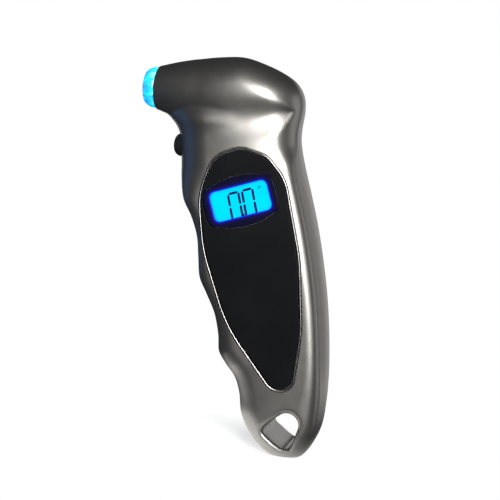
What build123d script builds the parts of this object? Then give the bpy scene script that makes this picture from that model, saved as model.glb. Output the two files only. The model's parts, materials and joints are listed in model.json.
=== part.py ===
from build123d import *
from math import cos, radians, sin
import os

# Hand-held digital tyre pressure gauge.
# Frame, in millimetres: +Z runs up the gauge from the tip of its tail, the nozzle points along -X,
# the display faces -Y and the flat back faces +Y. The housing parts on the plane Y = 0.

os.makedirs("parts", exist_ok=True)

# ---------------------------------------------------------------- driving dimensions
FRONT_Y = -13.5          # front face of the handle
BACK_Y = 14.4            # flat back that the gauge rests on
WALL = 2.2               # housing side walls
FRONT_WALL = 2.7         # front wall, thick enough to carry the panel's recess
EDGE_RADIUS = 5.0        # rounding between the faces and the side wall
WEB_T = 16.0             # web between the neck and the underside of the nozzle
FIT = 0.15               # clearance between a loose piece and its seat

NOZZLE_Z = 137.2         # height of the nozzle's axis
NOZZLE_FACE_X = -35.7    # end of the housing round the nozzle
NOZZLE_TIP_X = -40.8     # end of the clear nose
NOZZLE_BORE_R = 7.5      # hole in the housing for the clear nose
SOCKET_R = 4.0           # takes a valve stem of 7.7 mm thread
SOCKET_END_X = -34.9     # bottom of the socket's wall, where the seal's seat begins
SEAL_R = 5.4
SEAL_LENGTH = 3.6
CHAMBER_R = 4.4
CHAMBER_END_X = -1.0
BARB_X = -3.5            # the air leaves the chamber downwards here

TILT = radians(20.0)     # the display leans with the handle, right side up
DISPLAY_X, DISPLAY_Z = 4.4, 97.2
LIT_W, LIT_H = 24.6, 12.0
GLASS_W, GLASS_H = 29.0, 17.0
LENS_FACE_Y = -12.9
PANEL_FACE_Y = -13.6
SEAT_Y = -12.0           # floor of the panel's recess
GLASS_Y = -9.2           # front of the display glass
GLASS_T = 2.4
GUIDE_T = 2.2
BOARD_Y = -4.0           # front of the circuit board
BOARD_T = 1.6

BUTTON_Z = 116.0
BUTTON_R = 4.7
BUTTON_TIP_X = -26.8
NECK_PAD_X = -19.2       # flat inner face that the button's flange rests on
NECK_PAD_SIZE = 17.0
FLANGE_T = 0.8           # flange that keeps the button from falling out
OUTSIDE_X = -40.0        # clear of the neck, where the button's bore is cut from

DOOR_X, DOOR_Z = 14.0, 62.0
DOOR_W = 26.0
DOOR_TOP, DOOR_BOTTOM = 22.0, -25.5
DOOR_T = 2.2
DOOR_SCREW_V = -22.6
GRIP_V, GRIP_PITCH = 13.0, 2.0
COIN_V = 9.3
COIN_R, COIN_T = 10.0, 3.2
CELL_V = -12.6
CELL_R, CELL_T, CELL_COUNT = 5.8, 5.4, 3
CELL_Y = 6.3

HOUSING_SCREWS = [(17.5, 26.5), (34.0, 27.0), (-14.0, 127.0), (15.0, 127.0)]
BOARD_SCREWS = [(-13.5, -18.3), (13.0, -18.3), (12.5, 14.0)]
SOLID_TAIL_Z = 22.0      # below this height the tail is solid round its lanyard hole


# ---------------------------------------------------------------- planes
def front_plane(y):
    """Faces the reader of the display, at depth y; its axes are X and Z."""
    return Plane((0, y, 0), x_dir=(1, 0, 0), z_dir=(0, -1, 0))


def tilted_plane(x, z, y):
    """A front plane turned with the display, centred on (x, z)."""
    return Plane((x, y, z), x_dir=(cos(TILT), 0, sin(TILT)), z_dir=(0, -1, 0))


def display_plane(y):
    return tilted_plane(DISPLAY_X, DISPLAY_Z, y)


def door_plane(y):
    return tilted_plane(DOOR_X, DOOR_Z, y)


def nozzle_plane(x, z=NOZZLE_Z, y=0.0):
    """Square to the nozzle's axis, facing +X; its axes are Y and Z."""
    return Plane((x, y, z), x_dir=(0, 1, 0), z_dir=(1, 0, 0))


def save(part, name):
    part.label = name
    export_step(part, f"parts/{name}.step")


# ---------------------------------------------------------------- outlines
# Each outline is a run of straight sides whose corners are rounded: place and radius of each corner.
HANDLE_CORNERS = [
    ((25.6, 0.0), 7), ((12.9, 12.2), 12), ((8.9, 28.6), 10), ((-0.6, 38.6), 9), ((-1.4, 49.5), 20),
    ((-10.9, 70.8), 22), ((-12.6, 82.5), 18), ((-20.8, 98.2), 20), ((-24.4, 122.0), 12),
    ((-16.0, 134.0), 8), ((14.0, 137.5), 9), ((22.4, 133.0), 7), ((22.2, 119.5), 30),
    ((33.6, 83.0), 60), ((42.0, 46.0), 60), ((42.4, 12.0), 18), ((37.4, 0.0), 8),
]
PANEL_CORNERS = [
    ((2.6, 118.0), 10), ((-7.9, 113.6), 11), ((-12.3, 98.0), 26), ((-8.6, 77.0), 60), ((3.4, 49.0), 60),
    ((24.0, 25.8), 7), ((32.0, 28.2), 5), ((33.3, 50.0), 60), ((29.8, 78.0), 80), ((21.4, 107.2), 18),
    ((13.4, 115.6), 10),
]
# Barrel of the head and nozzle, turned round the nozzle's axis: place and radius
BARREL_PROFILE = [
    (NOZZLE_FACE_X, 8.5), (-28.0, 10.7), (-18.0, 12.8), (-5.0, 14.4), (6.0, 13.2), (14.5, 9.9), (20.0, 5.0),
]
HOLLOW_PROFILE = [(-31.2, 7.9), (-18.0, 10.7), (-5.0, 12.3), (6.0, 11.1), (13.5, 8.0), (17.5, 5.0)]
# The lanyard hole is a hull round three circles: x, z and radius of each
HOLE_CIRCLES = [(23.7, 11.4, 2.4), (30.2, 7.8, 3.0), (30.6, 14.8, 4.6)]


def rounded_outline(corners, inset=0.0):
    """Closed outline through the corners, each rounded to its radius, then drawn in by inset."""
    places = [place for place, _ in corners]
    radii = [radius for _, radius in corners]
    with BuildSketch(Plane.XY) as outline:
        with BuildLine():
            FilletPolyline(*places, radius=radii, close=True)
        make_face()
        if inset:
            offset(amount=-inset, mode=Mode.REPLACE)
    return outline.sketch


def lens_outline(clearance=0.0):
    """Barrel-shaped window: bowed above and below, with softly rounded ends."""
    half_w, half_end, half_mid = 13.8, 6.4, 9.9
    with BuildSketch(Plane.XY) as outline:
        with BuildLine():
            ThreePointArc((-half_w, half_end), (0, half_mid), (half_w, half_end))
            ThreePointArc((half_w, half_end), (half_w + 0.7, 0), (half_w, -half_end))
            ThreePointArc((half_w, -half_end), (0, -half_mid), (-half_w, -half_end))
            ThreePointArc((-half_w, -half_end), (-half_w - 0.7, 0), (-half_w, half_end))
        make_face()
        fillet(outline.vertices(), radius=3.0)
        if clearance:
            offset(amount=-clearance, mode=Mode.REPLACE)
    return outline.sketch


def hole_outline():
    with BuildSketch(Plane.XY) as outline:
        for x, z, radius in HOLE_CIRCLES:
            with Locations((x, z)):
                Circle(radius)
        make_hull()
    return outline.sketch


# ---------------------------------------------------------------- housing volumes
def turned_barrel(profile):
    """Solid of revolution round the nozzle's axis."""
    first_x, last_x = profile[0][0], profile[-1][0]
    with BuildPart() as barrel:
        with BuildSketch(Plane((0, 0, NOZZLE_Z), x_dir=(1, 0, 0), z_dir=(0, -1, 0))):
            with BuildLine():
                Spline(*profile)
                Line(profile[-1], (last_x, 0))
                Line((last_x, 0), (first_x, 0))
                Line((first_x, 0), profile[0])
            make_face()
        revolve(axis=Axis((0, 0, NOZZLE_Z), (1, 0, 0)))
    return barrel.part


with BuildPart() as housing:
    with BuildSketch(front_plane(BACK_Y)):
        add(rounded_outline(HANDLE_CORNERS))
    extrude(amount=BACK_Y - FRONT_Y)
    faces_y = housing.faces().sort_by(Axis.Y)
    fillet(faces_y[0].edges() + faces_y[-1].edges(), radius=EDGE_RADIUS)
    add(turned_barrel(BARREL_PROFILE))
    # web that carries the neck forward to the underside of the nozzle
    with BuildSketch(front_plane(WEB_T / 2)):
        with BuildLine():
            Polyline((-31.0, 133.0), (-31.0, 127.4), (-27.4, 124.6))
            ThreePointArc((-27.4, 124.6), (-24.0, 121.2), (-22.2, 116.0))
            Polyline((-22.2, 116.0), (-12.0, 116.0), (-12.0, 133.0), (-31.0, 133.0))
        make_face()
    extrude(amount=WEB_T)
    with BuildSketch(front_plane(BACK_Y + 1)):
        add(hole_outline())
    extrude(amount=BACK_Y - FRONT_Y + 2, mode=Mode.SUBTRACT)

# the hollow inside, less everything that stands up from the walls
with BuildPart() as hollow:
    with BuildSketch(front_plane(BACK_Y - WALL)):
        add(rounded_outline(HANDLE_CORNERS, WALL))
        with Locations((0, SOLID_TAIL_Z - 40)):
            Rectangle(200, 80, mode=Mode.SUBTRACT)
    extrude(amount=BACK_Y - WALL - FRONT_Y - FRONT_WALL)
    add(turned_barrel(HOLLOW_PROFILE))
    for x, z in HOUSING_SCREWS:
        with BuildSketch(front_plane(BACK_Y)):
            with Locations((x, z)):
                Circle(3.0)
        extrude(amount=BACK_Y - FRONT_Y, mode=Mode.SUBTRACT)
    with BuildSketch(display_plane(BOARD_Y)):
        with Locations(*BOARD_SCREWS):
            Circle(2.2)
    extrude(amount=BOARD_Y - FRONT_Y, mode=Mode.SUBTRACT)
    # pad behind the neck's wall, flat for the button's flange
    with BuildSketch(nozzle_plane(NECK_PAD_X, BUTTON_Z)):
        Rectangle(NECK_PAD_SIZE, NECK_PAD_SIZE)
    extrude(amount=-10.0, mode=Mode.SUBTRACT)

with BuildPart() as nozzle_bore:
    with BuildSketch(nozzle_plane(NOZZLE_FACE_X - 1)):
        Circle(NOZZLE_BORE_R)
    extrude(amount=6.0)

with BuildPart() as button_bore:
    with BuildSketch(nozzle_plane(OUTSIDE_X, BUTTON_Z)):
        Circle(BUTTON_R)
    extrude(amount=NECK_PAD_X + 0.1 - OUTSIDE_X)

# ---------------------------------------------------------------- front shell
with BuildPart() as front_shell:
    add(housing.part)
    split(bisect_by=Plane.XZ, keep=Keep.TOP)
    add(hollow.part, mode=Mode.SUBTRACT)
    add(nozzle_bore.part, mode=Mode.SUBTRACT)
    add(button_bore.part, mode=Mode.SUBTRACT)
    with BuildSketch(front_plane(SEAT_Y)):
        add(rounded_outline(PANEL_CORNERS))
    extrude(amount=10.0, mode=Mode.SUBTRACT)
    with BuildSketch(display_plane(0)):
        RectangleRounded(LIT_W + 2.4, LIT_H + 2.4, 1.5)
    extrude(amount=20.0, mode=Mode.SUBTRACT)
    # pilot holes for the housing screws and the board screws
    with BuildSketch(front_plane(0)):
        with Locations(*HOUSING_SCREWS):
            Circle(1.05)
    extrude(amount=8.0, mode=Mode.SUBTRACT)
    with BuildSketch(display_plane(BOARD_Y)):
        with Locations(*BOARD_SCREWS):
            Circle(0.85)
    extrude(amount=5.0, mode=Mode.SUBTRACT)
save(front_shell.part, "front_shell")

# ---------------------------------------------------------------- rear shell
SCREW_HEAD_Y = 6.0       # seat of the housing screws' heads
with BuildPart() as rear_shell:
    add(housing.part)
    split(bisect_by=Plane.XZ, keep=Keep.BOTTOM)
    add(hollow.part, mode=Mode.SUBTRACT)
    add(nozzle_bore.part, mode=Mode.SUBTRACT)
    add(button_bore.part, mode=Mode.SUBTRACT)
    with BuildSketch(front_plane(BACK_Y + 1)):
        with Locations(*HOUSING_SCREWS):
            Circle(2.2)
    extrude(amount=BACK_Y + 1 - SCREW_HEAD_Y, mode=Mode.SUBTRACT)
    with BuildSketch(front_plane(SCREW_HEAD_Y)):
        with Locations(*HOUSING_SCREWS):
            Circle(1.2)
    extrude(amount=SCREW_HEAD_Y, mode=Mode.SUBTRACT)
    with BuildSketch(door_plane(BACK_Y + 1)):
        with Locations((0, (DOOR_TOP + DOOR_BOTTOM) / 2)):
            RectangleRounded(DOOR_W, DOOR_TOP - DOOR_BOTTOM, 4.0)
    extrude(amount=DOOR_T + 2, mode=Mode.SUBTRACT)
save(rear_shell.part, "rear_shell")

# ---------------------------------------------------------------- panel and display, front to back
TRIM_W = 1.1             # bright bead round the panel
TRIM_PROUD = 0.6
with BuildPart() as panel_trim_ring:
    with BuildSketch(front_plane(SEAT_Y)):
        add(rounded_outline(PANEL_CORNERS, 0.1))
        add(rounded_outline(PANEL_CORNERS, 0.1 + TRIM_W), mode=Mode.SUBTRACT)
    extrude(amount=SEAT_Y - FRONT_Y + TRIM_PROUD)
    chamfer(panel_trim_ring.faces().sort_by(Axis.Y)[0].edges(), length=0.3)
save(panel_trim_ring.part, "panel_trim_ring")

with BuildPart() as front_panel:
    with BuildSketch(front_plane(SEAT_Y)):
        add(rounded_outline(PANEL_CORNERS, 0.1 + TRIM_W + 0.1))
    extrude(amount=SEAT_Y - PANEL_FACE_Y)
    with BuildSketch(display_plane(SEAT_Y)):
        add(lens_outline())
    extrude(amount=SEAT_Y - PANEL_FACE_Y, mode=Mode.SUBTRACT)
save(front_panel.part, "front_panel")

with BuildPart() as window_lens:
    with BuildSketch(display_plane(SEAT_Y)):
        add(lens_outline(FIT))
    extrude(amount=SEAT_Y - LENS_FACE_Y)
    chamfer(window_lens.faces().sort_by(Axis.Y)[0].edges(), length=0.2)
save(window_lens.part, "window_lens")

with BuildPart() as window_mask:
    with BuildSketch(display_plane(GLASS_Y)):
        RectangleRounded(LIT_W + 2.2, LIT_H + 2.2, 1.4)
        RectangleRounded(LIT_W, LIT_H, 1.6, mode=Mode.SUBTRACT)
    extrude(amount=GLASS_Y - SEAT_Y)
save(window_mask.part, "window_mask")

with BuildPart() as lcd_cell:
    with BuildSketch(display_plane(GLASS_Y + GLASS_T)):
        Rectangle(GLASS_W, GLASS_H)
    extrude(amount=GLASS_T / 2)
    # the front glass stops short of the ledge that carries the contacts
    with BuildSketch(display_plane(GLASS_Y + GLASS_T / 2)):
        with Locations((0, 1.0)):
            Rectangle(GLASS_W, GLASS_H - 2.0)
    extrude(amount=GLASS_T / 2)
save(lcd_cell.part, "lcd_cell")

with BuildPart() as light_guide:
    with BuildSketch(display_plane(GLASS_Y + GLASS_T + GUIDE_T)):
        with Locations((-0.9, 1.2)):
            RectangleRounded(26.0, 13.4, 1.0)
    extrude(amount=GUIDE_T)
save(light_guide.part, "light_guide")

with BuildPart() as backlight_leds:
    with BuildSketch(display_plane(BOARD_Y)):
        with Locations((13.3, 4.5), (13.3, -2.0)):
            Rectangle(1.2, 3.0)
    extrude(amount=1.9)
save(backlight_leds.part, "backlight_leds")

with BuildPart() as lcd_holder:
    with BuildSketch(display_plane(BOARD_Y)):
        RectangleRounded(GLASS_W + 2.6, GLASS_H + 2.6, 1.2)
        Rectangle(GLASS_W + 0.3, GLASS_H + 0.3, mode=Mode.SUBTRACT)
    extrude(amount=BOARD_Y - GLASS_Y)
save(lcd_holder.part, "lcd_holder")

with BuildPart() as zebra_connector:
    with BuildSketch(display_plane(BOARD_Y)):
        with Locations((0, -7.3)):
            Rectangle(27.0, 1.8)
    extrude(amount=BOARD_Y - GLASS_Y - GLASS_T)
save(zebra_connector.part, "zebra_connector")

# ---------------------------------------------------------------- circuit board and what is on it
BOARD_BACK_Y = BOARD_Y + BOARD_T
EAR_X, EAR_Z = -7.3, 111.5   # ear of the board that carries the button's switch
with BuildPart() as main_board:
    with BuildSketch(display_plane(BOARD_BACK_Y)):
        with Locations((0, -2.0)):
            RectangleRounded(32.0, 38.0, 2.0)
        with Locations(*BOARD_SCREWS):
            Circle(1.0, mode=Mode.SUBTRACT)
    extrude(amount=BOARD_T)
    with BuildSketch(front_plane(BOARD_BACK_Y)):
        with Locations((EAR_X, EAR_Z)):
            RectangleRounded(19.0, 16.0, 1.5)
    extrude(amount=BOARD_T)
save(main_board.part, "main_board")

with BuildPart() as controller_chip:
    with BuildSketch(display_plane(BOARD_BACK_Y)):
        with Locations((4.0, -3.0)):
            Circle(5.0)
    extrude(amount=-1.5)
    fillet(controller_chip.faces().sort_by(Axis.Y)[-1].edges(), radius=1.3)
save(controller_chip.part, "controller_chip")

with BuildPart() as board_screws:
    with BuildSketch(display_plane(BOARD_BACK_Y)):
        with Locations(*BOARD_SCREWS):
            Circle(1.7)
    extrude(amount=-1.1)
    with BuildSketch(display_plane(BOARD_BACK_Y)):
        with Locations(*BOARD_SCREWS):
            Circle(0.8)
    extrude(amount=BOARD_T + 4.5)
save(board_screws.part, "board_screws")

SWITCH_X = -16.8
PLUNGER_X = -18.0
with BuildPart() as tact_switch:
    with BuildSketch(nozzle_plane(SWITCH_X, BUTTON_Z)):
        RectangleRounded(4.8, 6.0, 0.4)
    extrude(amount=4.0)
    with BuildSketch(nozzle_plane(SWITCH_X, BUTTON_Z)):
        Circle(1.55)
    extrude(amount=1.4, mode=Mode.SUBTRACT)
save(tact_switch.part, "tact_switch")

with BuildPart() as switch_plunger:
    with BuildSketch(nozzle_plane(PLUNGER_X, BUTTON_Z)):
        Circle(1.5)
    extrude(amount=2.0)
save(switch_plunger.part, "switch_plunger")

BUTTON_DOME_R = 2.8
with BuildPart() as button_cap:
    with BuildSketch(nozzle_plane(BUTTON_TIP_X, BUTTON_Z)):
        Circle(BUTTON_R - FIT)
    extrude(amount=NECK_PAD_X - BUTTON_TIP_X)
    fillet(button_cap.faces().sort_by(Axis.X)[0].edges(), radius=BUTTON_DOME_R)
    # its flange, and the stem that meets the switch
    with BuildSketch(nozzle_plane(NECK_PAD_X, BUTTON_Z)):
        Circle(BUTTON_R + 0.9)
    extrude(amount=FLANGE_T)
    with BuildSketch(nozzle_plane(NECK_PAD_X + FLANGE_T, BUTTON_Z)):
        Circle(1.4)
    extrude(amount=PLUNGER_X - NECK_PAD_X - FLANGE_T)
save(button_cap.part, "button_cap")

# ---------------------------------------------------------------- nozzle and air path
SEAL_END_X = SOCKET_END_X + SEAL_LENGTH
CHAMBER_X = SEAL_END_X
RING_END_X = -29.5       # inner end of the clear nose, inside the housing
RING_COLLAR_X = -36.2    # its collar stands against the end of the housing
RING_ROUND_X = -38.4     # its outside rounds over towards the tip from here
SEAL_Z = NOZZLE_Z + SEAL_R
OUTER_Z = NOZZLE_Z + NOZZLE_BORE_R - 0.2
SOCKET_Z = NOZZLE_Z + SOCKET_R
with BuildPart() as nozzle_ring:
    with BuildSketch(front_plane(0)):
        with BuildLine():
            Polyline((RING_END_X, SEAL_Z), (RING_END_X, OUTER_Z), (RING_COLLAR_X, OUTER_Z),
                     (RING_COLLAR_X, NOZZLE_Z + 7.9), (RING_ROUND_X, NOZZLE_Z + 7.6))
            ThreePointArc((RING_ROUND_X, NOZZLE_Z + 7.6), (NOZZLE_TIP_X + 0.7, NOZZLE_Z + 6.8),
                          (NOZZLE_TIP_X, NOZZLE_Z + 5.3))
            Polyline((NOZZLE_TIP_X, NOZZLE_Z + 5.3), (NOZZLE_TIP_X, SOCKET_Z), (SOCKET_END_X, SOCKET_Z),
                     (SOCKET_END_X, SEAL_Z), (RING_END_X, SEAL_Z))
        make_face()
    revolve(axis=Axis((0, 0, NOZZLE_Z), (1, 0, 0)))
save(nozzle_ring.part, "nozzle_ring")

with BuildPart() as nozzle_seal:
    with BuildSketch(nozzle_plane(SOCKET_END_X)):
        Circle(SEAL_R)
        Circle(1.9, mode=Mode.SUBTRACT)
    extrude(amount=SEAL_LENGTH)
save(nozzle_seal.part, "nozzle_seal")

with BuildPart() as valve_depressor:
    with BuildSketch(nozzle_plane(SOCKET_END_X + 0.5)):
        Circle(1.0)
    extrude(amount=SEAL_LENGTH + 4.0)
    # flats that let the air past the pin
    with BuildSketch(nozzle_plane(SOCKET_END_X + 0.5)):
        with Locations((0, 1.2), (0, -1.2)):
            Rectangle(3.0, 1.0)
    extrude(amount=SEAL_LENGTH + 2.0, mode=Mode.SUBTRACT)
save(valve_depressor.part, "valve_depressor")

O_RING_X = CHAMBER_X + 1.0
O_RING_SECTION_R = 0.6
with BuildPart() as air_chamber:
    with BuildSketch(nozzle_plane(CHAMBER_X)):
        Circle(SEAL_R - 0.05)
    extrude(amount=1.8)
    with BuildSketch(nozzle_plane(CHAMBER_X + 1.8)):
        Circle(CHAMBER_R)
    extrude(amount=CHAMBER_END_X - CHAMBER_X - 1.8)
    # barb for the air tube
    with BuildSketch(Plane.XY.offset(NOZZLE_Z - CHAMBER_R - 6.0)):
        with Locations((BARB_X, 0)):
            Circle(1.5)
    extrude(amount=7.5)
    # passage behind the depressor, then down through the barb
    with BuildSketch(nozzle_plane(CHAMBER_X)):
        Circle(1.05)
    extrude(amount=BARB_X - CHAMBER_X + 0.8, mode=Mode.SUBTRACT)
    with BuildSketch(Plane.XY.offset(NOZZLE_Z - CHAMBER_R - 6.5)):
        with Locations((BARB_X, 0)):
            Circle(0.8)
    extrude(amount=11.0, mode=Mode.SUBTRACT)
    # groove for the ring that seals it into the nose
    with BuildSketch(front_plane(0)):
        with Locations((O_RING_X, NOZZLE_Z + SEAL_R)):
            Rectangle(2 * O_RING_SECTION_R, 4 * O_RING_SECTION_R)
    revolve(axis=Axis((0, 0, NOZZLE_Z), (1, 0, 0)), mode=Mode.SUBTRACT)
save(air_chamber.part, "air_chamber")

with BuildPart() as chamber_o_ring:
    with BuildSketch(front_plane(0)):
        with Locations((O_RING_X, NOZZLE_Z + SEAL_R - O_RING_SECTION_R)):
            Circle(O_RING_SECTION_R)
    revolve(axis=Axis((0, 0, NOZZLE_Z), (1, 0, 0)))
save(chamber_o_ring.part, "chamber_o_ring")

SENSOR_TOP_Z = 118.5
PORT_TOP_Z = 123.0
with BuildPart() as pressure_sensor:
    with BuildSketch(Plane.XY.offset(SENSOR_TOP_Z - 9.0)):
        with Locations((BARB_X, 0.5)):
            RectangleRounded(8.0, 5.8, 0.8)
    extrude(amount=9.0)
    with BuildSketch(Plane.XY.offset(SENSOR_TOP_Z)):
        with Locations((BARB_X, 0)):
            Circle(1.5)
            Circle(0.8, mode=Mode.SUBTRACT)
    extrude(amount=PORT_TOP_Z - SENSOR_TOP_Z)
save(pressure_sensor.part, "pressure_sensor")

TUBE_BOTTOM_Z = SENSOR_TOP_Z + 0.5
TUBE_TOP_Z = NOZZLE_Z - CHAMBER_R - 0.6
with BuildPart() as air_tube:
    with BuildSketch(Plane.XY.offset(TUBE_BOTTOM_Z)):
        with Locations((BARB_X, 0)):
            Circle(2.3)
            Circle(1.52, mode=Mode.SUBTRACT)
    extrude(amount=TUBE_TOP_Z - TUBE_BOTTOM_Z)
save(air_tube.part, "air_tube")

LED_Y, LED_Z = 6.2, NOZZLE_Z + 1.4
LED_X = -29.2
WIRE_X, WIRE_Z = -10.6, 114.0
with BuildPart() as nozzle_led:
    with BuildSketch(nozzle_plane(LED_X, LED_Z, LED_Y)):
        Circle(1.5)
    extrude(amount=5.0)
    fillet(nozzle_led.faces().sort_by(Axis.X)[0].edges(), radius=0.8)
save(nozzle_led.part, "nozzle_led")

with BuildPart() as led_wires:
    for dy in (-0.6, 0.6):
        with BuildLine():
            FilletPolyline((LED_X + 5.0, LED_Y + dy, LED_Z), (WIRE_X, LED_Y + dy, LED_Z),
                           (WIRE_X, LED_Y + dy, WIRE_Z - dy), (WIRE_X, BOARD_BACK_Y, WIRE_Z - dy), radius=2.0)
        with BuildSketch(nozzle_plane(LED_X + 5.0, LED_Z, LED_Y + dy)):
            Circle(0.3)
        sweep()
save(led_wires.part, "led_wires")

# ---------------------------------------------------------------- batteries and their tray
TRAY_FACE_Y = 12.2
TRAY_FLOOR_Y = -0.5
COIN_FLOOR_Y = 8.3
DOOR_MID_V = (DOOR_TOP + DOOR_BOTTOM) / 2
with BuildPart() as battery_tray:
    with BuildSketch(door_plane(TRAY_FACE_Y)):
        with Locations((0, DOOR_MID_V)):
            RectangleRounded(DOOR_W - 0.4, DOOR_TOP - DOOR_BOTTOM - 0.4, 3.5)
    extrude(amount=TRAY_FACE_Y - TRAY_FLOOR_Y)
    with BuildSketch(door_plane(TRAY_FACE_Y)):
        with Locations((0, COIN_V)):
            Circle(COIN_R + 0.4)
        with Locations((COIN_R, COIN_V)):
            Rectangle(4.0, 6.0)
    extrude(amount=TRAY_FACE_Y - COIN_FLOOR_Y, mode=Mode.SUBTRACT)
    with BuildSketch(door_plane(TRAY_FACE_Y)):
        with Locations((0, CELL_V)):
            Rectangle(CELL_COUNT * CELL_T + 2.0, 2 * CELL_R + 0.4)
    extrude(amount=TRAY_FACE_Y - CELL_Y + CELL_R + 0.2, mode=Mode.SUBTRACT)
    with BuildSketch(door_plane(TRAY_FACE_Y)):
        with Locations((0, DOOR_SCREW_V)):
            Circle(0.95)
    extrude(amount=8.0, mode=Mode.SUBTRACT)
save(battery_tray.part, "battery_tray")

with BuildPart() as coin_cell:
    with BuildSketch(door_plane(COIN_FLOOR_Y + 0.4)):
        with Locations((0, COIN_V)):
            Circle(COIN_R - 1.2)
    extrude(amount=-0.4)
    with BuildSketch(door_plane(COIN_FLOOR_Y + 0.8)):
        with Locations((0, COIN_V)):
            Circle(COIN_R)
    extrude(amount=-(COIN_T - 0.4))
    fillet(coin_cell.faces().sort_by(Axis.Y)[-1].edges(), radius=0.4)
save(coin_cell.part, "coin_cell")

with BuildPart() as coin_contacts:
    # negative strip under the cell
    with BuildSketch(door_plane(COIN_FLOOR_Y)):
        with Locations((0, COIN_V)):
            Rectangle(14.0, 4.0)
    extrude(amount=-0.35)
    # positive leaf beside it
    with BuildSketch(door_plane(COIN_FLOOR_Y)):
        with Locations((COIN_R + 1.2, COIN_V)):
            Rectangle(0.4, 5.0)
    extrude(amount=-3.4)
save(coin_contacts.part, "coin_contacts")

with BuildPart() as light_cells:
    for i in range(CELL_COUNT):
        u = (i - CELL_COUNT / 2) * CELL_T
        cell_plane = Plane(door_plane(CELL_Y).from_local_coords((u, CELL_V, 0)),
                           x_dir=(0, 1, 0), z_dir=(cos(TILT), 0, sin(TILT)))
        with BuildSketch(cell_plane):
            Circle(CELL_R)
        extrude(amount=CELL_T - 0.4)
        with BuildSketch(cell_plane.offset(CELL_T - 0.4)):
            Circle(CELL_R - 1.0)
        extrude(amount=0.35)
save(light_cells.part, "light_cells")

with BuildPart() as cell_contacts:
    for side in (-1, 1):
        with BuildSketch(door_plane(CELL_Y - 4.0)):
            with Locations((side * (CELL_COUNT * CELL_T / 2 + 0.6), CELL_V)):
                Rectangle(0.4, 8.0)
        extrude(amount=-8.0)
save(cell_contacts.part, "cell_contacts")

# ---------------------------------------------------------------- battery door and screws
with BuildPart() as battery_door:
    with BuildSketch(door_plane(BACK_Y)):
        with Locations((0, DOOR_MID_V)):
            RectangleRounded(DOOR_W - 2 * FIT, DOOR_TOP - DOOR_BOTTOM - 2 * FIT, 3.9)
    extrude(amount=DOOR_T)
    fillet(battery_door.faces().sort_by(Axis.Y)[-1].edges(), radius=0.4)
    # thumb grips
    with BuildSketch(door_plane(BACK_Y)):
        with Locations((0, GRIP_V)):
            with GridLocations(0, GRIP_PITCH, 1, 4):
                SlotOverall(12.0, 0.9)
    extrude(amount=0.4, mode=Mode.SUBTRACT)
    with BuildSketch(door_plane(BACK_Y)):
        with Locations((0, DOOR_SCREW_V)):
            Circle(2.0)
    extrude(amount=1.2, mode=Mode.SUBTRACT)
    with BuildSketch(door_plane(BACK_Y)):
        with Locations((0, DOOR_SCREW_V)):
            Circle(1.1)
    extrude(amount=DOOR_T, mode=Mode.SUBTRACT)
save(battery_door.part, "battery_door")


def cross_recess(span):
    """Outline of a cross-head driver recess."""
    with BuildSketch(Plane.XY) as cross:
        Rectangle(span, span / 4)
        Rectangle(span / 4, span)
    return cross.sketch


with BuildPart() as door_screw:
    with BuildSketch(door_plane(BACK_Y - 0.1)):
        with Locations((0, DOOR_SCREW_V)):
            Circle(1.85)
    extrude(amount=1.1)
    with BuildSketch(door_plane(BACK_Y - 1.2)):
        with Locations((0, DOOR_SCREW_V)):
            Circle(0.9)
    extrude(amount=6.0)
    with BuildSketch(door_plane(BACK_Y - 0.1)):
        with Locations((0, DOOR_SCREW_V)):
            add(cross_recess(2.2))
    extrude(amount=0.7, mode=Mode.SUBTRACT)
save(door_screw.part, "door_screw")

with BuildPart() as housing_screws:
    with BuildSketch(front_plane(SCREW_HEAD_Y + 1.6)):
        with Locations(*HOUSING_SCREWS):
            Circle(2.0)
    extrude(amount=1.6)
    with BuildSketch(front_plane(SCREW_HEAD_Y)):
        with Locations(*HOUSING_SCREWS):
            Circle(1.0)
    extrude(amount=SCREW_HEAD_Y + 7.0)
    with BuildSketch(front_plane(SCREW_HEAD_Y + 1.6)):
        with Locations(*HOUSING_SCREWS):
            add(cross_recess(2.4))
    extrude(amount=0.9, mode=Mode.SUBTRACT)
save(housing_screws.part, "housing_screws")
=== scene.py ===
import json
import math

import bmesh
import bpy
import numpy as np
from mathutils import Matrix, Vector


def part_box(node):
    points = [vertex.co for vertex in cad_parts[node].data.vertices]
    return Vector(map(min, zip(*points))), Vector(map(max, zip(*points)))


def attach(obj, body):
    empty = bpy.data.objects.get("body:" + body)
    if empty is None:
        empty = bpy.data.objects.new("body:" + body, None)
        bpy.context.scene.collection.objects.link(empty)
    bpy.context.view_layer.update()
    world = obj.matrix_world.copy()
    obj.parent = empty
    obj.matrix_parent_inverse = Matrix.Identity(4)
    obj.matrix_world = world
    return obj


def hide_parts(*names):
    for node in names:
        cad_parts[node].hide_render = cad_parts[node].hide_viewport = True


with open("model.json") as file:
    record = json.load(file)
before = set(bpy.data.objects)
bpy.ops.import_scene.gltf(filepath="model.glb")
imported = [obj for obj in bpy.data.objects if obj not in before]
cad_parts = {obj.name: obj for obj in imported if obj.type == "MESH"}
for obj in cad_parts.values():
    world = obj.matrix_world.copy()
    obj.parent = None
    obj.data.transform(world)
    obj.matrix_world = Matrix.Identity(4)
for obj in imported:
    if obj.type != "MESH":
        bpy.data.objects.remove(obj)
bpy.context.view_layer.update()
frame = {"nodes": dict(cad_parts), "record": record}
MM = 0.001

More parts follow.
